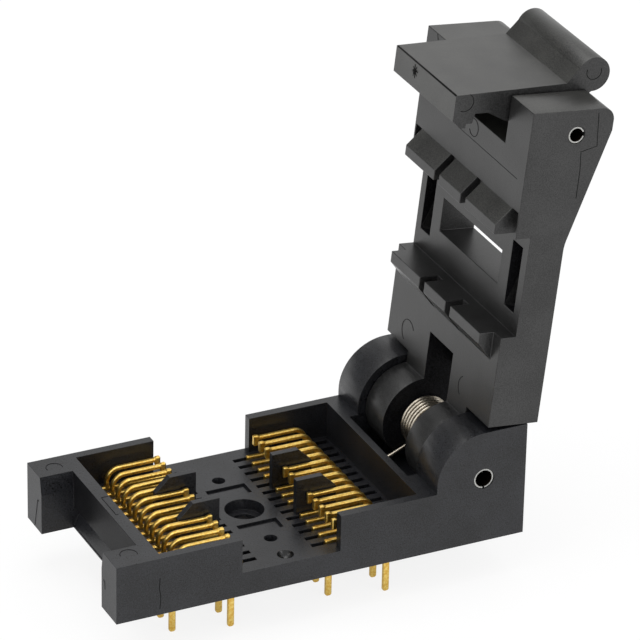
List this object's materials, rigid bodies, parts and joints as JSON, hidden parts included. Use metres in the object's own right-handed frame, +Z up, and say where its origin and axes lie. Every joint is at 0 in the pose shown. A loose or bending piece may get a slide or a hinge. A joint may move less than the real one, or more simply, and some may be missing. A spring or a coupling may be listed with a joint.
{
  "type": "clamshell ic test socket",
  "caption": "Board-mounted clamshell socket for a small-outline package: hinged sprung lid with pressure bars, hooked latch and rows of sprung gold contacts.",
  "frame": {"origin": "centre of the package seat, on the axis of the centre hole, at the underside of the base", "axes": "+X from the latch end to the hinge end, +Y along the rows of contacts, +Z up, away from the board"},
  "size_m": [0.0487, 0.0202, 0.0477],
  "materials": {
    "moulding": "glass-filled high-temperature thermoplastic, moulded black, fine matt skin",
    "contact": "stamped copper-alloy spring strip, gold plated over nickel",
    "pin": "rolled spring steel, plain bright ends",
    "spring": "drawn stainless spring wire"
  },
  "bodies": {
    "base": {"base": "moulding", "hinge_pin": "pin", "lid_spring": "spring", "contact_left_01": "contact", "contact_right_01": "contact", "contact_left_02": "contact", "contact_right_02": "contact", "contact_left_03": "contact", "contact_right_03": "contact", "contact_left_04": "contact", "contact_right_04": "contact", "contact_left_05": "contact", "contact_right_05": "contact", "contact_left_06": "contact", "contact_right_06": "contact", "contact_left_07": "contact", "contact_right_07": "contact", "contact_left_08": "contact", "contact_right_08": "contact", "contact_left_09": "contact", "contact_right_09": "contact", "contact_left_10": "contact", "contact_right_10": "contact", "contact_left_11": "contact", "contact_right_11": "contact", "contact_left_12": "contact", "contact_right_12": "contact", "contact_left_13": "contact", "contact_right_13": "contact", "contact_left_14": "contact", "contact_right_14": "contact"},
    "lid": {"lid": "moulding", "latch_pin": "pin", "latch_spring": "spring"},
    "latch": {"latch": "moulding"}
  },
  "joints": [
    {"name": "lid_hinge", "type": "hinge", "parent": "base", "child": "lid", "pos_m": [0.01879, 0, 0.00643], "axis": [0, -1, 0], "range_deg": [0, 96.1], "stiffness_Nm_per_rad": 0.004, "springref_deg": -28.65, "deforming": ["lid_spring"]},
    {"name": "latch_pivot", "type": "hinge", "parent": "lid", "child": "latch", "pos_m": [0.02651, 0, 0.03882], "axis": [0, 1, 0], "range_deg": [-2.5, 12], "stiffness_Nm_per_rad": 0.003, "deforming": ["latch_spring"]}
  ]
}
